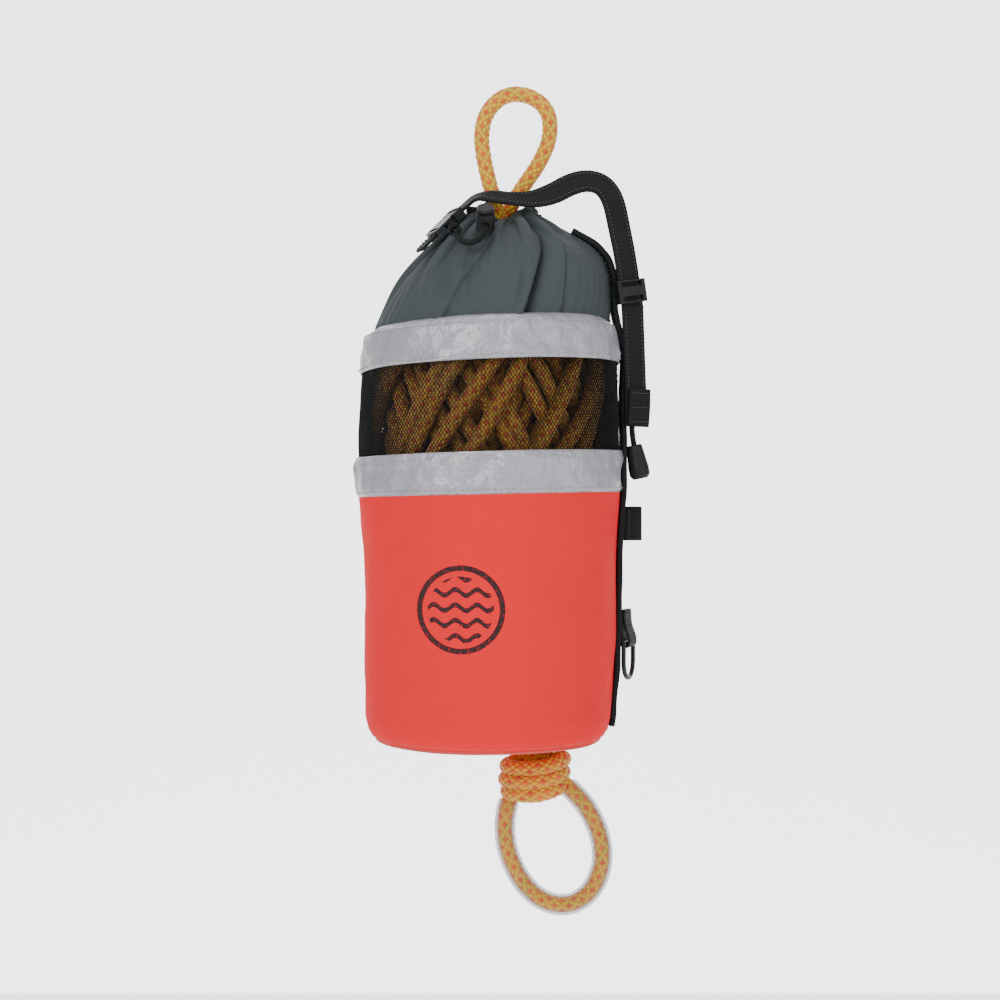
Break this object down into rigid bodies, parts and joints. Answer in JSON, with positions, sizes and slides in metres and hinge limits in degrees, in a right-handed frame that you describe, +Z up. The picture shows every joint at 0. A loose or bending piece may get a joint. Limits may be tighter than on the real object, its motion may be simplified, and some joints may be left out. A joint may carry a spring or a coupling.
{
  "type": "throw rope bag",
  "caption": "Stuffed rescue rope bag with a net window, reflective bands, drawcord mouth, closing strap and a hose-covered grab loop.",
  "frame": {"origin": "the top of the hang loop's inside, at the rope's inner face, where a hook or hand carries the bag", "axes": "+Z up with the bag hanging, front towards -Y, webbing with the gear loops towards +X"},
  "size_m": [0.1794, 0.1606, 0.5138],
  "materials": {
    "coral_fabric": "coated pack cloth",
    "grey_fabric": "plain woven nylon",
    "mesh": "open net",
    "reflective_tape": "glass bead reflective tape",
    "black_webbing": "ribbed nylon webbing",
    "base_fabric": "coated pack cloth",
    "lining_fabric": "plain woven nylon",
    "foam": "closed cell foam",
    "rope": "braided floating rope",
    "clear_hose": "clear soft PVC",
    "black_cord": "braided cord",
    "black_plastic": "moulded acetal",
    "ring_metal": "black coated",
    "grommet_metal": "plated brass"
  },
  "bodies": {
    "bag": {"base_grommet": "grommet_metal", "base_panel": "base_fabric", "base_rope": "rope", "body_panel": "coral_fabric", "buckle_anchor": "black_webbing", "buckle_housing": "black_plastic", "closing_strap": "black_webbing", "collar": "grey_fabric", "drawcord": "black_cord", "drawcord_knot": "black_cord", "drawcord_ring": "black_cord", "float_cover": "lining_fabric", "foam_float": "foam", "grommet_washer": "grommet_metal", "hand_loop_knot": "rope", "hem_casing": "grey_fabric", "inner_stopper_knot": "rope", "lower_gear_loop": "black_webbing", "lower_reflective_band": "reflective_tape", "mesh_window": "mesh", "rope_pack": "rope", "side_webbing": "black_webbing", "top_rope_loop": "rope", "upper_gear_loop": "black_webbing", "upper_reflective_band": "reflective_tape"},
    "knot": {"outer_knot": "rope"},
    "grab_loop": {"bottom_rope_loop": "rope", "loop_guard_tube": "clear_hose"},
    "ring": {"d_ring": "ring_metal"},
    "latch": {"buckle_latch": "black_plastic"},
    "prong_front": {"buckle_prong_front": "black_plastic"},
    "prong_back": {"buckle_prong_back": "black_plastic"},
    "slider": {"strap_slider": "black_plastic"},
    "strap_end": {"strap_tail": "black_webbing", "strap_end_fold": "black_webbing"},
    "pull": {"pull_cord": "black_cord", "cord_end": "black_plastic"},
    "cord_lock": {"cord_lock_body": "black_plastic"},
    "lock_button": {"cord_lock_plunger": "black_plastic"}
  },
  "joints": [
    {"name": "knot_swing", "type": "hinge", "parent": "bag", "child": "knot", "pos_m": [0.0105, 0, -0.398], "axis": [0, 1, 0], "range_deg": [-20, 20]},
    {"name": "grab_loop_flop", "type": "hinge", "parent": "knot", "child": "grab_loop", "pos_m": [0.0105, 0, -0.427], "axis": [1, 0, 0], "range_deg": [-45, 45]},
    {"name": "ring_swing", "type": "hinge", "parent": "bag", "child": "ring", "pos_m": [0.0689, 0.004, -0.3335], "axis": [-0.3499, -0.9368, 0], "range_deg": [-5, 100]},
    {"name": "buckle_release", "type": "slide", "parent": "bag", "child": "latch", "axis": [0.6409, 0.2988, 0.7071], "range_m": [0, 0.012], "deforming": ["closing_strap"]},
    {"name": "front_prong_squeeze", "type": "hinge", "parent": "latch", "child": "prong_front", "pos_m": [-0.03926, -0.02251, -0.07486], "axis": [0.6409, 0.2988, -0.7071], "range_deg": [0, 8], "stiffness_Nm_per_rad": 0.01},
    {"name": "back_prong_squeeze", "type": "hinge", "parent": "latch", "child": "prong_back", "pos_m": [-0.04408, -0.01217, -0.07486], "axis": [-0.6409, -0.2988, 0.7071], "range_deg": [0, 8]},
    {"name": "slider_adjust", "type": "slide", "parent": "bag", "child": "slider", "axis": [0.1464, 0.0732, -0.9865], "range_m": [-0.006, 0.002]},
    {"name": "strap_end_swing", "type": "hinge", "parent": "bag", "child": "strap_end", "pos_m": [0.0707, -0.0094, -0.1287], "axis": [-0.9023, -0.4311, 0], "range_deg": [0, 60]},
    {"name": "pull_swing", "type": "hinge", "parent": "strap_end", "child": "pull", "pos_m": [0.0702, -0.0063, -0.187], "axis": [0.4311, -0.9023, 0], "range_deg": [0, 30]},
    {"name": "cord_lock_slide", "type": "slide", "parent": "bag", "child": "cord_lock", "axis": [0, -0.8083, -0.5888], "range_m": [-0.006, 0.002]},
    {"name": "lock_button_press", "type": "slide", "parent": "cord_lock", "child": "lock_button", "axis": [0, 0.5888, -0.8083], "range_m": [0, 0.0016], "stiffness_N_per_m": 300}
  ],
  "couplings": [
    {"joint": "back_prong_squeeze", "follows": "front_prong_squeeze", "ratio": 1}
  ]
}
